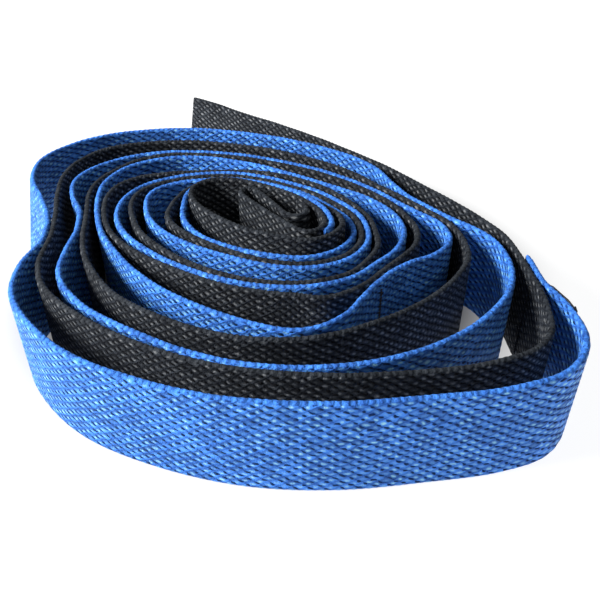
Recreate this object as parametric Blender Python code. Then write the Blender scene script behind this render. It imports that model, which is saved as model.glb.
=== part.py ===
"""Looped stretching strap, rolled into a coil and standing on its edge.

Two flat woven webbings of one width, blue outside and black inside, are sewn together by
nine bar tacks, so that they form eight loops in a row. The black webbing runs on past the
first seam as a long free tail, and past the last seam as the short hook at the coil's heart.
Everything follows one route, seen from above: ROUTE rows are (x, y, opening) in millimetres,
where the opening is the clear gap between the two webbings. Metres, +Z up, base on z = 0.
"""
import math

import bpy
import numpy as np
from mathutils import Matrix

MM = 0.001

# The webbings
WIDTH = 38 * MM               # woven width: the height at which the strap stands
THICKNESS = 2.4 * MM
SEWN_GAP = 0.3 * MM           # between the two webbings where they are stitched together
CORE_LIFT = 4 * MM            # how far the innermost turn has ridden up out of the coil
BLUE, BLACK = 1, -1           # side of the route: blue lies outside, black inside

# Seams and ends, as lengths along the route
LOOP_LEAD = 4 * MM            # a loop's pieces start this far before their first seam
PIECE_GAP = 0.3 * MM          # between two lengths of one webbing that don't move apart
HINGE_GAP = 0.8 * MM          # between two lengths that swing apart
BLUE_OUTER_END = 16 * MM      # the blue webbing's cut end, ahead of the first seam
TAIL_HINGE = 19 * MM          # where the free tail starts to swing, ahead of the first seam
TAIL_FLEX = 100 * MM          # from the tail's cut end to the bend in the tail
TAIL_SLANT = 8 * MM           # the tail's end is cut on a slant: its upper corner is further in
BLUE_INNER_END = 6 * MM       # the blue webbing's cut end, past the last seam
BLACK_RISE = (10 * MM, 70 * MM)     # past seam 8, the black webbing climbs between these
BLUE_RISE = (130 * MM, 215 * MM)    # and the blue webbing between these

# Bar tacks: an I-section of thread, pressed into both faces
TACK_HEIGHT = 32 * MM
TACK_WIDTH = 3 * MM           # of the stitched band on each face
TACK_DEPTH = 0.5 * MM         # of the band
TACK_CORE = 0.9 * MM          # thickness of the stitches through both webbings
TACK_GAP = 0.3 * MM           # around the thread

# Facets
SPLINE_STEPS = 24             # samples between two rows of the route
STATION_LENGTH = 8 * MM       # longest facet
STATION_TURN = math.radians(9)      # and the largest turn between two facets
SHARP = math.radians(35)

ORIGIN = (1.13, 1.3)        # middle of the coil's box, in the route's own millimetres

# The route, walked from the tail's cut end to the heart of the coil
TAIL = [
    (-49.5, 127.5, 0), (-28, 112.5, 0), (-11, 98, 0), (7.5, 83.5, 0), (26, 66, 0),
    (44.5, 48, 0), (61, 29.5, 0), (77, 6.5, 0), (90.5, -13.5, 0), (98.5, -29.5, 0),
    (101.3, -46, 0),
]
LOOPS = [
    [  # loop 1, from seam 1 to seam 2
        (102.3, -61, 0), (104.3, -78, 5), (103, -93, 8.5), (95, -104, 10), (80, -110.5, 9.5),
        (56, -115, 8.5), (28, -117.5, 9.5), (0, -115.5, 10.5), (-28, -107.3, 11.5),
        (-52, -95, 12.5), (-69, -80.5, 10.5), (-79.5, -66, 8), (-83.5, -50, 4),
    ],
    [  # loop 2, from seam 2 to seam 3
        (-82.6, -33, 0), (-85.6, -15, 0.8), (-92.5, 5, 5), (-98, 23, 11.5), (-97, 41, 15.5),
        (-86, 56.5, 14), (-67, 65.5, 13.5), (-45, 69.3, 13.5), (-20, 66.8, 13), (5, 57.8, 12),
        (28, 45, 11.5), (46, 29.5, 9.5), (55, 14.5, 4.5), (61.5, 3.5, 0.8),
    ],
    [  # loop 3, from seam 3 to seam 4
        (69.2, -7, 0), (78.5, -19, 1.2), (86, -33, 8.5), (87.5, -47, 12.5), (83.5, -60, 16),
        (75, -72.5, 17), (61, -85.3, 17), (43.5, -95, 15.5), (23, -100.3, 12), (2, -100.3, 10),
        (-19, -94.3, 8.5), (-39, -83.5, 8), (-54.7, -70.8, 9), (-65.2, -55.7, 9),
        (-69.3, -41.3, 4.5),
    ],
    [  # loop 4, from seam 4 to seam 5
        (-71, -25, 0), (-73.7, -10, 0.6), (-78.3, 4, 4.5), (-79.3, 18, 8), (-73.5, 31, 7.5),
        (-63, 41, 3.5), (-49, 46.5, 0.6), (-32, 47.3, 0.3), (-12, 44, 0.3), (9, 36.7, 0.3),
        (28, 25.5, 0.3), (45, 11.3, 0.3), (56.5, -2.7, 0.5), (63.5, -13, 3.8), (68.7, -22, 8.3),
        (69.3, -32, 10), (64.7, -40.5, 7), (57, -47.3, 2.5), (50, -54, 0.6),
    ],
    [  # loop 5, from seam 5 to seam 6
        (44, -61.5, 0), (36, -70.5, 3.5), (28, -77, 10), (17, -79.8, 17), (3, -77.3, 15.5),
        (-14, -70.5, 12), (-29.5, -61.3, 9.5), (-42.3, -50.5, 6), (-53.3, -38, 2.3),
        (-61.3, -25.5, 0.6), (-66.3, -11, 0.4), (-68.5, 3, 1.5), (-66.5, 16, 5.5),
        (-57.5, 28, 11.5), (-43.5, 34, 14.4), (-25, 34.8, 12), (-7, 31.5, 5.5), (10, 24, 0.8),
    ],
    [  # loop 6, from seam 6 to seam 7
        (23.5, 15.8, 0), (34, 7.2, 2.6), (43, -1.8, 6.4), (50.2, -13, 8.6), (52.6, -26, 9),
        (50.7, -38, 5.3), (43.7, -49, 1.5), (35.5, -58, 0.4), (23.7, -63, 0.3), (9, -63.7, 0.3),
        (-8, -60, 0.5), (-23, -52.7, 1), (-36.7, -42.5, 2), (-48.5, -29.7, 3), (-55.3, -15.5, 4),
        (-57.3, -3.5, 2.2), (-55.3, 6.5, 0.6), (-49.2, 14.5, 0.3), (-39, 20.3, 0.3),
        (-25, 23.4, 0.3),
    ],
    [  # loop 7, from seam 7 to seam 8
        (-9, 23.3, 0), (3, 19.3, 0.3), (13, 13.8, 0.3), (24, 6.8, 0.3), (32.6, -2.6, 0.3),
        (38.9, -11.8, 0.3), (42.1, -22, 0.3), (42, -34, 0.3), (35.7, -44.6, 0.3), (25, -50.6, 0.3),
        (11, -51, 0.5), (-5, -46, 1), (-20, -38.2, 2.2), (-33, -27.8, 3.2), (-41, -16.5, 4.7),
        (-43, -4.5, 8.5), (-41.5, 6, 10.5), (-35.3, 12.8, 5.8), (-26, 17.2, 0.6), (-13, 18, 0.3),
    ],
    [  # loop 8, from seam 8 to seam 9
        (1, 13.6, 0), (13, 7.3, 0.3), (22.7, -0.4, 0.4), (30, -9.4, 1.1), (35, -18.4, 1.8),
        (35.6, -29, 2.3), (30.2, -38, 2.6), (20.5, -43, 3.5), (7, -41.3, 5.3), (-8, -34.5, 6.5),
        (-19.5, -25.7, 7.5), (-27.3, -15.5, 5), (-30.7, -4, 1), (-30, 5, 0.3), (-24, 11.2, 0.3),
        (-13, 12.2, 0.3), (-1.5, 8.2, 0.3), (9.5, 2, 0.3), (19.5, -7, 0.3), (26, -17, 0.3),
    ],
]
INNER_END = [
    (28, -27, 0), (25.4, -32.4, 0), (21.8, -34.8, 0), (17.4, -34.6, 0), (12.4, -30.8, 0),
    (6, -23.5, 0), (-1, -14.5, 0), (-6.7, -7, 0), (-9.4, -2.2, 0), (-9.3, 1.6, 0), (-6.4, 4.2, 0),
    (-2.6, 3.6, 0), (0.6, 0.2, 0), (5, -6.6, 0), (8.8, -13.2, 0), (11.9, -18.2, 0),
    (15.3, -20.2, 0), (18, -18.2, 0), (17.6, -14.2, 0), (14.8, -11, 0),
]


def smoothstep(value, start, end):
    t = np.clip((value - start) / (end - start), 0.0, 1.0)
    return t * t * (3.0 - 2.0 * t)


def smooth(rows):
    """Samples of the centripetal Catmull-Rom curve that passes through every row."""
    span = np.sqrt(np.linalg.norm(np.diff(rows[:, :2], axis=0), axis=1))[:, None]
    slope = np.diff(rows, axis=0) / span
    tangent = np.vstack([
        slope[:1],
        (slope[:-1] * span[1:] + slope[1:] * span[:-1]) / (span[:-1] + span[1:]),
        slope[-1:],
    ])
    curve = []
    for i, width in enumerate(span):
        for t in np.arange(SPLINE_STEPS) / SPLINE_STEPS:
            curve.append(
                (2 * t**3 - 3 * t**2 + 1) * rows[i]
                + (t**3 - 2 * t**2 + t) * width * tangent[i]
                + (3 * t**2 - 2 * t**3) * rows[i + 1]
                + (t**3 - t**2) * width * tangent[i + 1]
            )
    return np.array(curve + [rows[-1]])


class Route:
    """The strap's middle line, with everything asked of it by length along the line."""

    def __init__(self):
        rows = np.array(TAIL + [row for loop in LOOPS for row in loop] + INNER_END, float)
        rows[:, :2] -= ORIGIN
        curve = smooth(rows * MM)
        self.xy = curve[:, :2]
        self.opening = np.maximum(curve[:, 2], SEWN_GAP)
        step = np.linalg.norm(np.diff(self.xy, axis=0), axis=1)
        self.length = np.concatenate([[0.0], np.cumsum(step)])
        along = np.gradient(self.xy, axis=0)
        along /= np.linalg.norm(along, axis=1)[:, None]
        self.normal = np.stack([-along[:, 1], along[:, 0]], axis=1)
        heading = np.unwrap(np.arctan2(along[:, 1], along[:, 0]))
        turned = np.concatenate([[0.0], np.cumsum(np.abs(np.diff(heading)))])
        self.facets = self.length / STATION_LENGTH + turned / STATION_TURN
        first_rows = np.cumsum([len(TAIL)] + [len(loop) for loop in LOOPS])
        self.seams = self.length[first_rows * SPLINE_STEPS]
        self.end = self.length[-1]

    def read(self, values, s):
        """values at length s: one number for a line of numbers, or two for a line of points."""
        if values.ndim == 1:
            return np.interp(s, self.length, values)
        return np.stack([np.interp(s, self.length, column) for column in values.T], axis=-1)

    def webbing(self, side, s, out=0.0):
        """A point of one webbing's middle line, moved by some distance out of the coil."""
        offset = (THICKNESS + self.read(self.opening, s)) / 2 * side + out
        return self.read(self.xy, s) + self.read(self.normal, s) * np.expand_dims(offset, -1)

    def lift(self, side, s):
        """Height of the webbing's lower edge over the floor."""
        start, end = BLACK_RISE if side == BLACK else BLUE_RISE
        return CORE_LIFT * smoothstep(s - self.seams[7], start, end)

    def stations(self, start, end):
        """Lengths at which the webbing's facets meet, closer together where it bends."""
        first, last = np.interp([start, end], self.length, self.facets)
        count = max(2, math.ceil(last - first) + 1)
        return np.interp(np.linspace(first, last, count), self.facets, self.length)


def material(name, colour, roughness):
    made = bpy.data.materials.new(name)
    made.use_nodes = True
    shader = made.node_tree.nodes["Principled BSDF"]
    shader.inputs["Base Color"].default_value = (*colour, 1.0)
    shader.inputs["Roughness"].default_value = roughness
    shader.inputs["Metallic"].default_value = 0.0
    made.diffuse_color = (*colour, 1.0)
    return made


def place(name, vertices, faces, hinge, look=None):
    """A mesh in world coordinates, as an object whose origin is its hinge or the world's."""
    mesh = bpy.data.meshes.new(name)
    mesh.from_pydata([tuple(map(float, v)) for v in vertices], [], faces)
    made = bpy.data.objects.new(name, mesh)
    bpy.context.collection.objects.link(made)
    if hinge:
        made.parent = hinge
        mesh.transform(Matrix.Translation(-world_place(hinge)))
    if look:
        mesh.materials.append(look)
    return made


def world_place(empty):
    """World position of a hinge empty: the sum of the locations up its chain of parents."""
    total = empty.location.copy()
    while empty.parent:
        empty = empty.parent
        total += empty.location
    return total


def hinge(name, point, parent=None):
    made = bpy.data.objects.new(name, None)
    bpy.context.collection.objects.link(made)
    made.empty_display_size = WIDTH / 2
    made.location = (point[0], point[1], 0.0)
    if parent:
        made.parent = parent
        made.location -= world_place(parent)
    return made


def prism(outline, low, high):
    """Vertices and faces of an upright prism over a counter-clockwise outline."""
    count = len(outline)
    vertices = [(*p, z) for z in (low, high) for p in outline]
    faces = [tuple(reversed(range(count))), tuple(range(count, 2 * count))]
    for i in range(count):
        j = (i + 1) % count
        faces.append((i, j, j + count, i + count))
    return vertices, faces


def ribbon(name, route, side, start, end, hinge_empty, look, slant=0.0):
    """One length of webbing, standing on its edge, between two lengths along the route."""
    lower = route.stations(start, end)
    upper = lower + slant * (1.0 - smoothstep(lower, start, start + WIDTH))
    vertices = []
    for s_low, s_high in zip(lower, upper):
        floor = float(route.lift(side, s_high))
        for s, height, out in ((s_low, floor, -1), (s_low, floor, 1),
                               (s_high, floor + WIDTH, 1), (s_high, floor + WIDTH, -1)):
            vertices.append((*route.webbing(side, s, out * THICKNESS / 2), height))
    faces = [(3, 2, 1, 0)]
    for a in range(0, len(vertices) - 4, 4):
        b = a + 4
        faces += [(a + i, a + (i + 1) % 4, b + (i + 1) % 4, b + i) for i in range(4)]
    last = len(vertices) - 4
    faces.append((last, last + 1, last + 2, last + 3))
    made = place(name, vertices, faces, hinge_empty, look)
    made.data.shade_smooth()
    made.data.set_sharp_from_angle(angle=SHARP)
    return made


def tack_outline(route, seam, grow=0.0, beyond=0.0):
    """I-section across both webbings at a seam, seen from above and counter-clockwise.

    grow widens every arm, and beyond carries the arms out past the webbings' faces."""
    centre = route.read(route.xy, seam)
    normal = route.read(route.normal, seam)
    along = np.array([normal[1], -normal[0]])
    face = THICKNESS + SEWN_GAP / 2
    band = TACK_WIDTH / 2 + grow
    core = TACK_CORE / 2 + grow
    inner = face - TACK_DEPTH - grow
    outer = face + beyond
    corners = [
        (-band, -outer), (band, -outer), (band, -inner), (core, -inner), (core, inner),
        (band, inner), (band, outer), (-band, outer), (-band, inner), (-core, inner),
        (-core, -inner), (-band, -inner),
    ]
    return [tuple(centre + along * u + normal * v) for u, v in corners]


def cut_slot(target, outline, low, high, name, hinge_empty):
    """Cut the hole that a bar tack fills."""
    cutter = place(name, *prism(outline, low, high), hinge_empty)
    cutter.hide_render = True
    cutter.display_type = "WIRE"
    cut = target.modifiers.new(name, "BOOLEAN")
    cut.operation = "DIFFERENCE"
    cut.solver = "EXACT"
    cut.object = cutter


def bar_tack(number, route, webbings, hinge_empty, thread):
    """The stitches of one seam, in the slots that they fill in both webbings."""
    seam = route.seams[number - 1]
    low = float(route.lift(BLACK, seam)) + (WIDTH - TACK_HEIGHT) / 2
    high = low + TACK_HEIGHT
    outline = tack_outline(route, seam)
    place(f"bar_tack_{number}", *prism(outline, low, high), hinge_empty, thread)
    slot = tack_outline(route, seam, grow=TACK_GAP, beyond=THICKNESS / 2)
    for colour, webbing in webbings.items():
        cut_slot(webbing, slot, low - TACK_GAP, high + TACK_GAP,
                 f"slot_{number}_{colour}", hinge_empty)


def build():
    for old in list(bpy.data.objects):
        bpy.data.objects.remove(old, do_unlink=True)
    blue = material("blue_webbing", (0.035, 0.16, 0.62), 0.85)
    black = material("black_webbing", (0.022, 0.021, 0.022), 0.85)
    thread = material("black_thread", (0.012, 0.012, 0.014), 0.6)
    route = Route()
    seams = route.seams
    tail_break = seams[0] - TAIL_HINGE
    starts = np.append(seams - LOOP_LEAD, route.end)

    front_break = starts[1] - HINGE_GAP
    front = hinge("hinge_front_loop",
                  route.webbing(BLUE, front_break + HINGE_GAP / 2, THICKNESS / 2))
    root = hinge("hinge_tail_root",
                 route.webbing(BLACK, tail_break - HINGE_GAP / 2, THICKNESS / 2), front)
    tip = hinge("hinge_tail_tip",
                route.webbing(BLACK, TAIL_FLEX + HINGE_GAP / 2, THICKNESS / 2), root)

    ribbon("black_tail_tip", route, BLACK, 0.0, TAIL_FLEX, tip, black, TAIL_SLANT)
    ribbon("black_tail_root", route, BLACK, TAIL_FLEX + HINGE_GAP, tail_break - HINGE_GAP,
           root, black)
    for number in range(1, len(LOOPS) + 1):
        moving = front if number == 1 else None
        gap = HINGE_GAP if number == 1 else PIECE_GAP
        begin = {"blue": starts[number - 1], "black": starts[number - 1]}
        end = {"blue": starts[number] - gap, "black": starts[number] - gap}
        if number == 1:
            begin = {"blue": seams[0] - BLUE_OUTER_END, "black": tail_break}
        if number == len(LOOPS):
            end = {"blue": seams[8] + BLUE_INNER_END, "black": seams[8] + BLUE_INNER_END}
        pair = {
            "blue": ribbon(f"blue_loop_{number}", route, BLUE, begin["blue"], end["blue"],
                           moving, blue),
            "black": ribbon(f"black_loop_{number}", route, BLACK, begin["black"],
                            end["black"], moving, black),
        }
        bar_tack(number, route, pair, moving, thread)
        if number == len(LOOPS):
            bar_tack(number + 1, route, pair, moving, thread)
    ribbon("black_inner_end", route, BLACK, seams[8] + BLUE_INNER_END + PIECE_GAP, route.end,
           None, black)


build()
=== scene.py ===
"""Looped stretching strap, rolled into a coil and standing on its edge: the looks.

The two webbings are drawn as the woven bands that they are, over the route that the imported
solids follow. The weave is real relief all around each band. A band is drawn loop by loop,
and its lengths meet under the stitches of a seam, or in a stretch of the tail that stays stiff.
"""
import math
import random

import bpy
import numpy as np
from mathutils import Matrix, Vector


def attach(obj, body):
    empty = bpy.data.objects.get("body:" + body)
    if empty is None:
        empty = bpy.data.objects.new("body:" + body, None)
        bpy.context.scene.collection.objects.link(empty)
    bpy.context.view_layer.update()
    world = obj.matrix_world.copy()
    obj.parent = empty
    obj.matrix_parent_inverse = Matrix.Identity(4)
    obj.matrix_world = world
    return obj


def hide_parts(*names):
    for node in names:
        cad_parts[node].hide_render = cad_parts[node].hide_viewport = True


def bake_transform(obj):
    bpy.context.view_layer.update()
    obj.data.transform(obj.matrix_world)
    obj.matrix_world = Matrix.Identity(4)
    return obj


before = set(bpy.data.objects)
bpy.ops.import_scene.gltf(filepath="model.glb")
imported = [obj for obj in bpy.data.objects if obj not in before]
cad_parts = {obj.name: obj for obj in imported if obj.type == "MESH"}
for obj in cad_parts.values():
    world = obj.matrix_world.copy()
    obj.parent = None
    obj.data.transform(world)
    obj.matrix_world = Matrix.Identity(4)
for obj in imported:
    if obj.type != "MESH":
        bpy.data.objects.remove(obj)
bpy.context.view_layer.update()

MM = 0.001

# Sizes of the real strap, as in the CAD
WIDTH = 38 * MM
THICKNESS = 2.4 * MM
SEWN_GAP = 0.3 * MM           # between the two webbings at a seam
CORE_LIFT = 4 * MM            # the innermost turn has ridden up by this much
BLACK_RISE = (10 * MM, 70 * MM)     # past seam 8, the black webbing rises between these
BLUE_RISE = (130 * MM, 215 * MM)    # and the blue one between these
BLUE, BLACK = 1, -1           # side of the route: blue lies outside, black inside
BLUE_OUTER_END = 16 * MM      # the blue webbing's cut end, ahead of the first seam
BLUE_INNER_END = 6 * MM       # and its other one, past the last seam
TAIL_SLANT = 8 * MM           # the upper corner of the tail's end is this much further in
ORIGIN = (1.13, 1.3)          # middle of the coil's box, in the route's own millimetres
SPLINE_STEPS = 24

# Loop 2's blue webbing leans
TILT = 8 * MM                 # its lower edge stands this much further out than its upper one
TILT_START = (10 * MM, 45 * MM)     # past seam 2, the lean grows between these
TILT_END = (82 * MM, 130 * MM)      # and fades between these

# The tail's two hinges, as lengths along the strap
TAIL_HINGE = 19 * MM          # the tail swings here, ahead of the first seam
TAIL_FLEX = 100 * MM          # and bends here, from its cut end

# The weave: knuckles in staggered rows, all around the webbing
KNUCKLE_PITCH = 4.7 * MM      # along a row
ROWS = 26                     # pairs of rows around both faces and both selvedges
ROUND = THICKNESS / 2         # radius of the rounded selvedges
GIRTH = 2 * (WIDTH - THICKNESS) + 2 * math.pi * ROUND
ROW_PITCH = GIRTH / ROWS      # of two rows, one of them shifted by half a knuckle
ALONG_FALL, ACROSS_FALL = 1.8, 2.0      # how deep a knuckle's two diagonals fall to its gaps
DIP_FALL = (9.5, 24.0)        # the same for the dips between two knuckles, sunk in the bump and darkened with painted shade
HIGHLIGHT_FALL = (9.0, 20.0)      # and for the painted highlights on top
EDGE_BAND = 1.5 * MM          # on either side of a selvedge's middle, where the yarn turns back
FACE_RELIEF = 0.24 * MM       # from the gaps to the tops of the knuckles
EDGE_RELIEF = 0.34 * MM
MEAN_RELIEF = 0.72            # share of the relief that lies within the webbing's thickness
STEPS_ALONG = 4               # of the mesh, to a knuckle
STEPS_AROUND = 8              # of the mesh, to a pair of rows at the selvedges
FREE_STEP = 0.3               # share of a step that stays free beside the end of a band
CUT_PINCH = (0.50, 0.80, 0.95)      # share of the thickness from a cut end inwards
WANDER = 0.2 * MM             # unevenness of the upper edge
WAVES = ((0.090, 1.0), (0.041, 0.45), (0.019, 0.2))     # its wavelengths in metres, and shares
SHARP = math.radians(70)

# The stitches
TACK_HEIGHT = 32 * MM
TACK_WIDTH = 3 * MM
STITCH_PITCH = 1.3 * MM
THREAD = 0.30 * MM            # radius
FRAYED = 0.42 * MM            # and of the loose end
THREAD_SIDES = 6
OFF_AXIS = (0.31, 0.23, 0.92)       # a direction in which no thread runs
LOOSE_END = (                 # its bends: past seam 1, over the floor, off the webbing's face; mm
    (0.0, 34.6, 0.2), (2.5, 36.4, 0.2), (5.0, 37.3, 0.1), (8.0, 37.5, 0.0), (11.0, 37.4, 0.2),
    (13.5, 37.7, 0.1), (16.0, 37.3, 0.3), (18.2, 36.6, 0.7), (17.4, 35.8, 0.5),
    (16.0, 36.4, 0.8), (16.8, 37.4, 0.8), (18.8, 36.9, 0.5),
)

# The stage
FLOOR_HALF = 30.0
FLOOR_GREY = 0.25
GLOW = 0.9                    # of the floor outside the coil, for the photo's white ground
GLOW_START, GLOW_END = 0.078, 0.138     # metres from the middle of the coil
CAMERA_PLACE = (15.7 * MM, -265.0 * MM, 176.7 * MM)
CAMERA_DOWN = math.radians(36.2)
LENS, SENSOR = 41.2, 36.0

# The route, walked from the tail's cut end to the heart of the coil: (x, y, opening) in mm
TAIL = [
    (-49.5, 127.5, 0), (-28, 112.5, 0), (-11, 98, 0), (7.5, 83.5, 0), (26, 66, 0),
    (44.5, 48, 0), (61, 29.5, 0), (77, 6.5, 0), (90.5, -13.5, 0), (98.5, -29.5, 0),
    (101.3, -46, 0),
]
LOOPS = [
    [  # loop 1, from seam 1 to seam 2
        (102.3, -61, 0), (104.3, -78, 5), (103, -93, 8.5), (95, -104, 10), (80, -110.5, 9.5),
        (56, -115, 8.5), (28, -117.5, 9.5), (0, -115.5, 10.5), (-28, -107.3, 11.5),
        (-52, -95, 12.5), (-69, -80.5, 10.5), (-79.5, -66, 8), (-83.5, -50, 4),
    ],
    [  # loop 2, from seam 2 to seam 3
        (-82.6, -33, 0), (-85.6, -15, 0.8), (-92.5, 5, 5), (-98, 23, 11.5), (-97, 41, 15.5),
        (-86, 56.5, 14), (-67, 65.5, 13.5), (-45, 69.3, 13.5), (-20, 66.8, 13), (5, 57.8, 12),
        (28, 45, 11.5), (46, 29.5, 9.5), (55, 14.5, 4.5), (61.5, 3.5, 0.8),
    ],
    [  # loop 3, from seam 3 to seam 4
        (69.2, -7, 0), (78.5, -19, 1.2), (86, -33, 8.5), (87.5, -47, 12.5), (83.5, -60, 16),
        (75, -72.5, 17), (61, -85.3, 17), (43.5, -95, 15.5), (23, -100.3, 12), (2, -100.3, 10),
        (-19, -94.3, 8.5), (-39, -83.5, 8), (-54.7, -70.8, 9), (-65.2, -55.7, 9),
        (-69.3, -41.3, 4.5),
    ],
    [  # loop 4, from seam 4 to seam 5
        (-71, -25, 0), (-73.7, -10, 0.6), (-78.3, 4, 4.5), (-79.3, 18, 8), (-73.5, 31, 7.5),
        (-63, 41, 3.5), (-49, 46.5, 0.6), (-32, 47.3, 0.3), (-12, 44, 0.3), (9, 36.7, 0.3),
        (28, 25.5, 0.3), (45, 11.3, 0.3), (56.5, -2.7, 0.5), (63.5, -13, 3.8), (68.7, -22, 8.3),
        (69.3, -32, 10), (64.7, -40.5, 7), (57, -47.3, 2.5), (50, -54, 0.6),
    ],
    [  # loop 5, from seam 5 to seam 6
        (44, -61.5, 0), (36, -70.5, 3.5), (28, -77, 10), (17, -79.8, 17), (3, -77.3, 15.5),
        (-14, -70.5, 12), (-29.5, -61.3, 9.5), (-42.3, -50.5, 6), (-53.3, -38, 2.3),
        (-61.3, -25.5, 0.6), (-66.3, -11, 0.4), (-68.5, 3, 1.5), (-66.5, 16, 5.5),
        (-57.5, 28, 11.5), (-43.5, 34, 14.4), (-25, 34.8, 12), (-7, 31.5, 5.5), (10, 24, 0.8),
    ],
    [  # loop 6, from seam 6 to seam 7
        (23.5, 15.8, 0), (34, 7.2, 2.6), (43, -1.8, 6.4), (50.2, -13, 8.6), (52.6, -26, 9),
        (50.7, -38, 5.3), (43.7, -49, 1.5), (35.5, -58, 0.4), (23.7, -63, 0.3), (9, -63.7, 0.3),
        (-8, -60, 0.5), (-23, -52.7, 1), (-36.7, -42.5, 2), (-48.5, -29.7, 3), (-55.3, -15.5, 4),
        (-57.3, -3.5, 2.2), (-55.3, 6.5, 0.6), (-49.2, 14.5, 0.3), (-39, 20.3, 0.3),
        (-25, 23.4, 0.3),
    ],
    [  # loop 7, from seam 7 to seam 8
        (-9, 23.3, 0), (3, 19.3, 0.3), (13, 13.8, 0.3), (24, 6.8, 0.3), (32.6, -2.6, 0.3),
        (38.9, -11.8, 0.3), (42.1, -22, 0.3), (42, -34, 0.3), (35.7, -44.6, 0.3), (25, -50.6, 0.3),
        (11, -51, 0.5), (-5, -46, 1), (-20, -38.2, 2.2), (-33, -27.8, 3.2), (-41, -16.5, 4.7),
        (-43, -4.5, 8.5), (-41.5, 6, 10.5), (-35.3, 12.8, 5.8), (-26, 17.2, 0.6), (-13, 18, 0.3),
    ],
    [  # loop 8, from seam 8 to seam 9
        (1, 13.6, 0), (13, 7.3, 0.3), (22.7, -0.4, 0.4), (30, -9.4, 1.1), (35, -18.4, 1.8),
        (35.6, -29, 2.3), (30.2, -38, 2.6), (20.5, -43, 3.5), (7, -41.3, 5.3), (-8, -34.5, 6.5),
        (-19.5, -25.7, 7.5), (-27.3, -15.5, 5), (-30.7, -4, 1), (-30, 5, 0.3), (-24, 11.2, 0.3),
        (-13, 12.2, 0.3), (-1.5, 8.2, 0.3), (9.5, 2, 0.3), (19.5, -7, 0.3), (26, -17, 0.3),
    ],
]
INNER_END = [
    (28, -27, 0), (25.4, -32.4, 0), (21.8, -34.8, 0), (17.4, -34.6, 0), (12.4, -30.8, 0),
    (6, -23.5, 0), (-1, -14.5, 0), (-6.7, -7, 0), (-9.4, -2.2, 0), (-9.3, 1.6, 0), (-6.4, 4.2, 0),
    (-2.6, 3.6, 0), (0.6, 0.2, 0), (5, -6.6, 0), (8.8, -13.2, 0), (11.9, -18.2, 0),
    (15.3, -20.2, 0), (18, -18.2, 0), (17.6, -14.2, 0), (14.8, -11, 0),
]


# ---------------------------------------------------------------- the route

def smoothstep(value, start, end):
    t = np.clip((value - start) / (end - start), 0.0, 1.0)
    return t * t * (3.0 - 2.0 * t)


def smooth(rows):
    """Samples of the centripetal Catmull-Rom curve that passes through every row."""
    span = np.sqrt(np.linalg.norm(np.diff(rows[:, :2], axis=0), axis=1))[:, None]
    slope = np.diff(rows, axis=0) / span
    tangent = np.vstack([
        slope[:1],
        (slope[:-1] * span[1:] + slope[1:] * span[:-1]) / (span[:-1] + span[1:]),
        slope[-1:],
    ])
    curve = []
    for i, width in enumerate(span):
        for t in np.arange(SPLINE_STEPS) / SPLINE_STEPS:
            curve.append(
                (2 * t**3 - 3 * t**2 + 1) * rows[i]
                + (t**3 - 2 * t**2 + t) * width * tangent[i]
                + (3 * t**2 - 2 * t**3) * rows[i + 1]
                + (t**3 - t**2) * width * tangent[i + 1]
            )
    return np.array(curve + [rows[-1]])


class Route:
    """The strap's middle line, with everything asked of it by length along the line."""

    def __init__(self):
        rows = np.array(TAIL + [row for loop in LOOPS for row in loop] + INNER_END, float)
        rows[:, :2] -= ORIGIN
        curve = smooth(rows * MM)
        self.xy = curve[:, :2]
        self.opening = np.maximum(curve[:, 2], SEWN_GAP)
        step = np.linalg.norm(np.diff(self.xy, axis=0), axis=1)
        self.length = np.concatenate([[0.0], np.cumsum(step)])
        along = np.gradient(self.xy, axis=0)
        along /= np.linalg.norm(along, axis=1)[:, None]
        self.normal = np.stack([-along[:, 1], along[:, 0]], axis=1)
        first_rows = np.cumsum([len(TAIL)] + [len(loop) for loop in LOOPS])
        self.seams = self.length[first_rows * SPLINE_STEPS]
        self.end = self.length[-1]

    def read(self, values, s):
        """values at length s: one number for a line of numbers, or two for a line of points."""
        if values.ndim == 1:
            return np.interp(s, self.length, values)
        return np.stack([np.interp(s, self.length, column) for column in values.T], axis=-1)

    def direction(self, s):
        """The unit normal, pointing out of the coil, at length s."""
        normal = self.read(self.normal, s)
        return normal / np.linalg.norm(normal, axis=-1, keepdims=True)

    def webbing(self, side, s, out=0.0):
        """A point of one webbing's middle line, moved by some distance out of the coil."""
        offset = (THICKNESS + self.read(self.opening, s)) / 2 * side + out
        return self.read(self.xy, s) + self.direction(s) * np.expand_dims(offset, -1)

    def lift(self, side, s):
        """Height of the webbing's lower edge over the floor."""
        start, end = BLACK_RISE if side == BLACK else BLUE_RISE
        return CORE_LIFT * smoothstep(s - self.seams[7], start, end)


ROUTE = Route()
SEAMS = ROUTE.seams
BLUE_ENDS = SEAMS[0] - BLUE_OUTER_END, SEAMS[8] + BLUE_INNER_END
BLACK_ENDS = 0.0, ROUTE.end


# ---------------------------------------------------------------- the woven bands

def section(v):
    """Cross-section of a webbing at length v around it, from the middle of its lower edge:
    offset out of the coil, height over the webbing's middle, and the outward direction."""
    flat = WIDTH - THICKNESS
    arc = math.pi * ROUND
    v = (v + arc / 2) % GIRTH
    up = v - arc
    over = up - flat
    down = over - arc
    angle = np.where(v < arc, v / ROUND - math.pi, over / ROUND)
    on_edge = (v < arc) | ((over >= 0) & (down < 0))
    out_x = np.where(on_edge, np.cos(angle), np.where(down < 0, 1.0, -1.0))
    out_z = np.where(on_edge, np.sin(angle), 0.0)
    centre = np.where(v < arc, -flat / 2, np.where(over >= 0, flat / 2, up - flat / 2))
    centre = np.where(down >= 0, flat / 2 - down, centre)
    return ROUND * out_x, centre + ROUND * out_z, out_x, out_z


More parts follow.
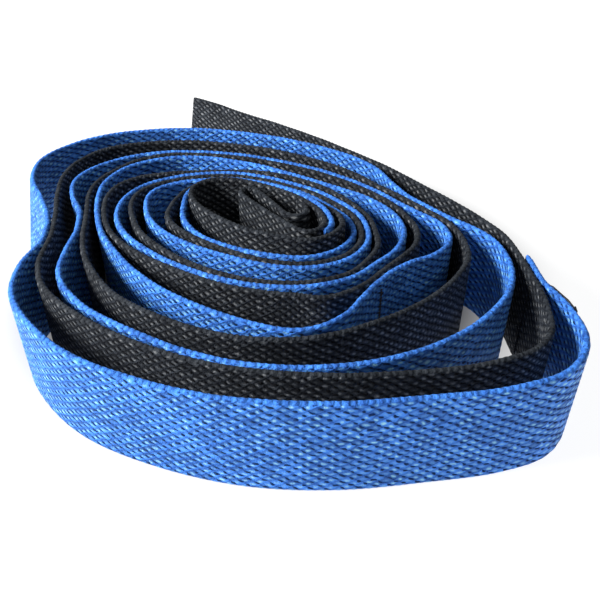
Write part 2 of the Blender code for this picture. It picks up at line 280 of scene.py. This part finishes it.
def ring():
    """Lengths around the section at which the mesh has its points: closer at the edges."""
    fine = np.arange(STEPS_AROUND * ROWS) * ROW_PITCH / STEPS_AROUND
    x, z, _, _ = section(fine)
    at_edge = np.abs(z) > WIDTH / 2 - 1.5 * THICKNESS
    return fine[at_edge | (np.arange(len(fine)) % 2 == 0)]


def knuckles(u, v):
    """Relief of the weave, from 0 in the gaps to 1 on top of a knuckle."""
    rising = u / KNUCKLE_PITCH + v / ROW_PITCH
    falling = u / KNUCKLE_PITCH - v / ROW_PITCH
    a = rising - np.round(rising)
    b = falling - np.round(falling)
    dome = np.clip(1.0 - ALONG_FALL * a**2 - ACROSS_FALL * b**2, 0.0, 1.0)
    turns = 0.7 + 0.3 * np.cos(4 * math.pi * u / KNUCKLE_PITCH)
    to_edge = GIRTH / 4 - np.abs((v % (GIRTH / 2)) - GIRTH / 4)
    share = 1.0 - smoothstep(to_edge, EDGE_BAND / 2, EDGE_BAND)
    return dome + (turns - dome) * share


def wander(s, seed, size):
    """A slow, small unevenness of hand-rolled webbing."""
    rng = random.Random(seed)
    return size * sum(
        share * np.sin(2 * math.pi * (s / wavelength + rng.random())) for wavelength, share in WAVES
    )


def tilt(side, s):
    """How much further out the lower edge stands than the upper one."""
    if side == BLACK:
        return 0.0 * s
    past = s - SEAMS[1]
    return TILT * smoothstep(past, *TILT_START) * (1.0 - smoothstep(past, *TILT_END))


def surface(side, s, around, slant):
    """Points of one length of webbing, row by row, and the strap's length at each of them."""
    x, z, out_x, out_z = section(around)
    lean = slant * (0.5 + z / WIDTH)
    run = s[:, None] + lean * (1.0 - smoothstep(s, s[0], s[0] + WIDTH))[:, None]
    amount = FACE_RELIEF + (EDGE_RELIEF - FACE_RELIEF) * np.abs(out_z)
    raised = amount * (knuckles(run, around) - MEAN_RELIEF)
    pinch = np.ones_like(s)
    if s[0] in (BLUE_ENDS[0], BLACK_ENDS[0]):
        pinch[:3] = CUT_PINCH
    if s[-1] in (BLUE_ENDS[1], BLACK_ENDS[1]):
        pinch[-3:] = CUT_PINCH[::-1]
    out = x * pinch[:, None] + raised * out_x + tilt(side, run) * (0.5 - z / WIDTH)
    height = WIDTH / 2 + z + raised * out_z + ROUTE.lift(side, run)
    height += wander(run, side, WANDER) * smoothstep(z, -WIDTH / 2, WIDTH / 2)
    place = ROUTE.webbing(side, run) + ROUTE.direction(run) * out[..., None]
    return np.concatenate([place, np.maximum(height, 0.0)[..., None]], axis=-1), run


def make(name, points, faces, look):
    """An object with this mesh and one material."""
    mesh = bpy.data.meshes.new(name)
    mesh.from_pydata(points, [], faces)
    mesh.materials.append(look)
    made = bpy.data.objects.new(name, mesh)
    bpy.context.collection.objects.link(made)
    return made


def band(name, side, start, end, look, body=None, slant=0.0, nodes=()):
    """One length of webbing, as a closed tube whose surface is the weave."""
    around = ring()
    step = KNUCKLE_PITCH / STEPS_ALONG
    first_step = math.ceil(start / step + FREE_STEP)
    last_step = math.floor(end / step - FREE_STEP)
    s = np.concatenate([[start], np.arange(first_step, last_step + 1) * step, [end]])
    points, run = surface(side, s, around, slant)

    # One quad for each step along and around, and a cap on both ends
    count = len(around)
    first = (np.arange(len(s) - 1) * count)[:, None]
    j = np.arange(count)[None, :]
    k = (j + 1) % count
    quads = np.stack([first + j, first + count + j, first + count + k, first + k], axis=-1)
    last = (len(s) - 1) * count
    caps = [list(range(count)), [last + i for i in range(count)][::-1]]
    made = make(name, points.reshape(-1, 3).tolist(), quads.reshape(-1, 4).tolist() + caps, look)
    made.data.shade_smooth()
    made.data.set_sharp_from_angle(angle=SHARP)

    # The weave's own coordinates: length along the strap, and length around the section
    v_next = np.append(around[1:], GIRTH)
    here, ahead = run[:-1], run[1:]
    turn = np.stack([here, ahead, np.roll(ahead, -1, axis=1), np.roll(here, -1, axis=1)], axis=-1)
    across = np.broadcast_to(np.stack([around, around, v_next, v_next], axis=-1), turn.shape)
    corners = np.stack([turn, across], axis=-1).reshape(-1, 2)
    cap_corners = [(run[0, i], around[i]) for i in range(count)]
    cap_corners += [(run[-1, i], around[i]) for i in range(count)][::-1]
    weave = made.data.uv_layers.new(name="weave")
    weave.data.foreach_set("uv", np.concatenate([corners, cap_corners]).astype(np.float32).ravel())

    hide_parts(*nodes)
    if body:
        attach(made, body)
    return made


# ---------------------------------------------------------------- the stitches

def zigzag(seam, side, rng):
    """The thread of a bar tack on one outer face: from stitch hole to stitch hole, upwards."""
    centre = ROUTE.read(ROUTE.xy, seam)
    normal = ROUTE.direction(seam)
    along = np.array([normal[1], -normal[0]])
    low = float(ROUTE.lift(BLACK, seam)) + (WIDTH - TACK_HEIGHT) / 2
    face = THICKNESS + SEWN_GAP / 2
    path = []
    for i in range(round(2 * TACK_HEIGHT / STITCH_PITCH) + 1):
        reach = (TACK_WIDTH / 2 - THREAD) * (1 if i % 2 else -1) + rng.uniform(-0.15, 0.15) * MM
        height = low + i * STITCH_PITCH / 2 + rng.uniform(-0.1, 0.1) * MM
        hole = centre + along * reach + normal * (face - THREAD) * side
        middle = centre + normal * (face + 0.6 * THREAD) * side
        path += [(*hole, height), (*middle, height + STITCH_PITCH / 4)]
    return path[:-1]


def loose_end():
    """The end of the thread at the first seam, lying along the blue webbing's upper edge."""
    return [
        (*ROUTE.webbing(BLUE, SEAMS[0] + past * MM, THICKNESS / 2 + out * MM), height * MM)
        for past, height, out in LOOSE_END
    ]


def tube(path, radius, first):
    """Points and faces of a capped tube along a path. Its first point has the number first."""
    tangent = np.gradient(path, axis=0)
    tangent /= np.linalg.norm(tangent, axis=1)[:, None]
    points = []
    for spot, ahead in zip(path, tangent):
        right = np.cross(ahead, OFF_AXIS)
        right /= np.linalg.norm(right)
        up = np.cross(right, ahead)
        for turn in range(THREAD_SIDES):
            angle = 2 * math.pi * turn / THREAD_SIDES
            points.append(spot + radius * (right * math.cos(angle) + up * math.sin(angle)))
    last = first + len(points) - THREAD_SIDES
    faces = []
    for base in range(first, last, THREAD_SIDES):
        for turn in range(THREAD_SIDES):
            one, other = base + turn, base + (turn + 1) % THREAD_SIDES
            faces.append((one, other, other + THREAD_SIDES, one + THREAD_SIDES))
    faces.append(tuple(first + turn for turn in range(THREAD_SIDES))[::-1])
    faces.append(tuple(last + turn for turn in range(THREAD_SIDES)))
    return points, faces


def stitches(number, look):
    """The thread of one seam: a bar tack, seen on both faces of the two webbings."""
    rng = random.Random(number)
    threads = [(zigzag(SEAMS[number - 1], side, rng), THREAD) for side in (BLUE, BLACK)]
    if number == 1:
        threads.append((loose_end(), FRAYED))
    points, faces = [], []
    for path, radius in threads:
        more_points, more_faces = tube(path, radius, len(points))
        points += more_points
        faces += more_faces
    made = make(f"stitches_{number}", [tuple(map(float, point)) for point in points], faces, look)
    made.data.shade_smooth()
    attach(made, "front_loop" if number == 1 else "coil")
    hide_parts(f"bar_tack_{number}")


# ---------------------------------------------------------------- materials

class Nodes:
    """Short ways to add and link shader nodes."""

    def __init__(self, name):
        self.material = bpy.data.materials.new(name)
        self.material.use_nodes = True
        self.tree = self.material.node_tree
        self.shader = self.tree.nodes["Principled BSDF"]

    def add(self, kind, inputs=(), **settings):
        node = self.tree.nodes.new("ShaderNode" + kind)
        for key, value in settings.items():
            setattr(node, key, value)
        for key, value in dict(inputs).items():
            self.put(value, node.inputs[key])
        return node

    def put(self, value, socket):
        if isinstance(value, bpy.types.NodeSocket):
            self.tree.links.new(value, socket)
        else:
            socket.default_value = value

    def finish(self, **values):
        """Set the shader's own sockets. An underscore in a name stands for a space."""
        for key, value in values.items():
            self.put(value, self.shader.inputs[key.replace("_", " ")])

    def math(self, operation, *values):
        return self.add("Math", dict(enumerate(values)), operation=operation).outputs[0]

    def noise(self, vector, scale):
        return self.add("TexNoise", {"Vector": vector, "Scale": scale, "Detail": 2.0})

    def mix(self, factor, first, second, blend="MIX"):
        inputs = {0: factor, 6: first, 7: second}
        return self.add("Mix", inputs, data_type="RGBA", blend_type=blend).outputs[2]

    def ramp(self, factor, *stops):
        node = self.add("ValToRGB", {0: factor})
        elements = node.color_ramp.elements
        while len(elements) < len(stops):
            elements.new(0.5)
        for element, (place, colour) in zip(elements, stops):
            element.position = place
            element.color = (*colour, 1.0)
        return node.outputs[0]

    def oval(self, a, b, fall_a, fall_b):
        """An oval spot: 1 in its middle, falling to 0 at its rim."""
        far_a = self.math("MULTIPLY", self.math("MULTIPLY", a, a), fall_a)
        far_b = self.math("MULTIPLY", self.math("MULTIPLY", b, b), fall_b)
        return self.math("MAXIMUM", self.math("SUBTRACT", 1.0, self.math("ADD", far_a, far_b)), 0.0)

    def grey(self, value):
        return self.add("CombineColor", {0: value, 1: value, 2: value}).outputs[0]


def woven(name, gap_shade, yarn, lit_crest, glint):
    """Coarse weave: rounded knuckles in staggered rows, no two quite alike, with painted shade in
    the gaps and dips and painted light on the tops.
    """
    n = Nodes(name)

    # The lattice, a little crooked: a and b run from -0.5 to 0.5 along a knuckle's two diagonals
    uv = n.add("UVMap", uv_map="weave").outputs[0]
    wobble = n.noise(uv, 320.0).outputs["Color"]
    shift = n.add("VectorMath", {0: wobble, 1: (0.5, 0.5, 0.5)}, operation="SUBTRACT").outputs[0]
    bent = n.add("VectorMath", {0: shift, 1: (2.6 * MM, 1.8 * MM, 0.0), 2: uv},
                 operation="MULTIPLY_ADD").outputs[0]
    split = n.add("SeparateXYZ", {0: bent})
    turn_u = n.math("MULTIPLY", split.outputs[0], 1 / KNUCKLE_PITCH)
    turn_v = n.math("MULTIPLY", split.outputs[1], 1 / ROW_PITCH)
    rising = n.math("ADD", turn_u, turn_v)
    falling = n.math("SUBTRACT", turn_u, turn_v)
    row, column = n.math("ROUND", rising), n.math("ROUND", falling)
    a = n.math("SUBTRACT", rising, row)
    b = n.math("SUBTRACT", falling, column)

    # Two random numbers for every knuckle
    cell = n.add("CombineXYZ", {0: row, 1: column}).outputs[0]
    chances = n.add("TexWhiteNoise", {"Vector": cell}, noise_dimensions="2D")
    chance = chances.outputs["Value"]
    luck = n.math("POWER", chances.outputs["Color"], 1.2)

    # The selvedges, where the yarn turns back instead
    around = n.add("SeparateXYZ", {0: uv}).outputs[1]
    half = n.math("FLOORED_MODULO", around, GIRTH / 2)
    off_middle = n.math("ABSOLUTE", n.math("SUBTRACT", half, GIRTH / 4))
    edge = n.add("MapRange", {0: off_middle, 1: GIRTH / 4 - EDGE_BAND,
                              2: GIRTH / 4 - EDGE_BAND / 2}).outputs[0]
    inside = n.math("SUBTRACT", 1.0, edge)
    wave = n.math("COSINE", n.math("MULTIPLY", turn_u, 4 * math.pi))
    turns = n.math("MULTIPLY_ADD", wave, 0.22, 0.72)

    # The relief: domes with fibres, and dips between them
    dome = n.oval(a, b, ALONG_FALL, ACROSS_FALL)
    dome = n.math("MULTIPLY_ADD", n.math("SUBTRACT", turns, dome), edge, dome)
    fibres = n.math("SUBTRACT", n.noise(uv, 1700.0).outputs[0], 0.5)
    rough_dome = n.math("MULTIPLY_ADD", fibres, 0.7, dome)
    uneven_dome = n.math("MULTIPLY_ADD", chance, 0.3, rough_dome)
    from_gap = n.math("SUBTRACT", n.math("ABSOLUTE", b), 0.5)
    depth = n.math("MULTIPLY_ADD", chance, 0.9, 0.7)
    dip = n.math("MULTIPLY", n.oval(a, from_gap, *DIP_FALL), inside)
    dip = n.math("MULTIPLY", dip, depth)
    height = n.math("MAXIMUM", n.math("MULTIPLY_ADD", dip, -0.9, uneven_dome), -0.6)

    # The colour: by height, uneven from knuckle to knuckle and from place to place. Painted shade
    # darkens the gaps, and painted light makes the knuckle tops lighter
    base = n.ramp(height, (0.0, gap_shade), (0.35, yarn), (1.0, lit_crest))
    patches = n.noise(uv, 30.0).outputs[0]
    tone = n.math("MULTIPLY", n.math("MULTIPLY_ADD", chance, 0.5, 0.75),
                  n.math("MULTIPLY_ADD", patches, 0.5, 0.75))
    base = n.mix(1.0, base, n.grey(tone), "MULTIPLY")
    # Painted shade in the dips between knuckles
    base = n.mix(dip, base, (*gap_shade, 1.0))
    # Painted highlights: the glint colour on top of the knuckles, of random strength, away from the
    # selvedges
    highlight_spot = n.oval(a, b, *HIGHLIGHT_FALL)
    highlight_share = n.math("MULTIPLY", n.math("MULTIPLY", highlight_spot, luck), inside)
    base = n.mix(highlight_share, base, (*glint, 1.0))

    bump = n.add("Bump", {"Height": height, "Strength": 1.0, "Distance": 0.7 * MM})
    n.finish(
        Base_Color=base, Roughness=n.math("MULTIPLY_ADD", height, -0.3, 0.9),
        Normal=bump.outputs[0], Sheen_Weight=0.05, Sheen_Roughness=0.4,
        Sheen_Tint=(*glint, 1.0), Specular_IOR_Level=0.3, Specular_Tint=(*glint, 1.0),
    )
    return n.material


def twisted(name, colour):
    """Sewing thread: light and dark along its twist."""
    n = Nodes(name)
    spot = n.add("NewGeometry").outputs["Position"]
    noise = n.noise(spot, 1400.0).outputs[0]
    dark = tuple(0.4 * part for part in colour)
    bump = n.add("Bump", {"Height": noise, "Strength": 0.7, "Distance": 0.1 * MM})
    n.finish(Base_Color=n.ramp(noise, (0.35, dark), (0.7, colour)), Roughness=0.55,
             Normal=bump.outputs[0])
    return n.material


def plain_floor():
    """Grey, with painted light: it glows outside the coil, so that no lamp has to burn it white and
    the key light's shadow there washes out. The glow fades towards the coil, which paints a soft
    shade around it.
    """
    n = Nodes("floor")
    spot = n.add("NewGeometry").outputs["Position"]
    distance = n.add("VectorMath", {0: spot}, operation="LENGTH").outputs["Value"]
    # Painted light outside the coil, fading to none near it: a painted soft shade around the coil
    glow = n.add("MapRange", {0: distance, 1: GLOW_START, 2: GLOW_END, 3: 0.0, 4: GLOW},
                 interpolation_type="SMOOTHSTEP").outputs[0]
    n.finish(Base_Color=(FLOOR_GREY, FLOOR_GREY, FLOOR_GREY, 1.0), Roughness=0.8,
             Emission_Color=(1.0, 1.0, 1.0, 1.0), Emission_Strength=glow)
    return n.material


# ---------------------------------------------------------------- the pieces

def bands(side, colour, look):
    """One webbing, loop by loop. Every loop but the first is attached to the coil."""
    lengths = list(SEAMS)
    if side == BLUE:
        lengths[0], lengths[-1] = BLUE_ENDS
    for number, (start, end) in enumerate(zip(lengths, lengths[1:]), 1):
        made = band(f"{colour}_webbing_{number}", side, start, end, look,
                    body="coil" if number > 1 else None, nodes=[f"{colour}_loop_{number}"])
        if number == 1:
            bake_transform(made)


def bend(piece):
    """Bake a length of the tail's placement into its mesh; it is attached to no body."""
    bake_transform(piece)


def tail(look):
    """The black webbing ahead of the first seam, in two lengths that meet halfway between the
    tail's two hinges.
    """
    swing = SEAMS[0] - TAIL_HINGE
    middle = (TAIL_FLEX + swing) / 2
    root = band("black_webbing_tail_root", BLACK, middle, SEAMS[0], look,
                nodes=["black_tail_root"])
    bend(root)
    tip = band("black_webbing_tail_tip", BLACK, BLACK_ENDS[0], middle, look, slant=TAIL_SLANT,
               nodes=["black_tail_tip"])
    bend(tip)


# ---------------------------------------------------------------- stage

def lamp(name, place, size, power, colour):
    light = bpy.data.lights.new(name, "AREA")
    light.shape = "DISK"
    light.size = size
    light.energy = power
    light.color = colour
    made = bpy.data.objects.new(name, light)
    bpy.context.collection.objects.link(made)
    made.location = place
    made.rotation_euler = (-Vector(place)).to_track_quat("-Z", "Y").to_euler()


def studio():
    corners = [(x * FLOOR_HALF, y * FLOOR_HALF, 0) for x, y in ((-1, -1), (1, -1), (1, 1), (-1, 1))]
    make("floor", corners, [(0, 1, 2, 3)], plain_floor())

    world = bpy.data.worlds.new("studio")
    bpy.context.scene.world = world
    world.use_nodes = True
    background = world.node_tree.nodes["Background"]
    background.inputs["Color"].default_value = (0.90, 0.95, 1.0, 1.0)
    background.inputs["Strength"].default_value = 0.24
    lamp("key", place=(-0.78, -0.19, 0.52), size=0.36, power=16.5, colour=(1.0, 0.99, 0.97))
    lamp("fill", place=(0.30, -0.75, 0.85), size=0.6, power=1.0, colour=(1.0, 1.0, 1.0))

    data = bpy.data.cameras.new("camera")
    data.sensor_width = SENSOR
    data.lens = LENS
    data.clip_start = 0.01
    camera = bpy.data.objects.new("camera", data)
    bpy.context.collection.objects.link(camera)
    camera.location = CAMERA_PLACE
    camera.rotation_euler = (math.pi / 2 - CAMERA_DOWN, 0.0, 0.0)
    bpy.context.scene.camera = camera
    bpy.context.scene.view_settings.view_transform = "Standard"


# Each weave's colours: painted shade for the gaps and dips, the yarn, lighter tops as painted
# light, and painted highlights
blue_look = woven("blue_webbing", gap_shade=(0.007, 0.026, 0.13), yarn=(0.028, 0.112, 0.52),
                  lit_crest=(0.06, 0.24, 0.82), glint=(0.42, 0.85, 1.0))
black_look = woven("black_webbing", gap_shade=(0.003, 0.003, 0.005), yarn=(0.009, 0.011, 0.016),
                   lit_crest=(0.030, 0.035, 0.043), glint=(0.30, 0.31, 0.32))
thread_look = twisted("black_thread", (0.03, 0.03, 0.033))
bands(BLUE, "blue", blue_look)
bands(BLACK, "black", black_look)
tail(black_look)
band("black_webbing_inner_end", BLACK, SEAMS[8], BLACK_ENDS[1], black_look, body="coil",
     nodes=["black_inner_end"])
for seam_number in range(1, len(SEAMS) + 1):
    stitches(seam_number, thread_look)
studio()
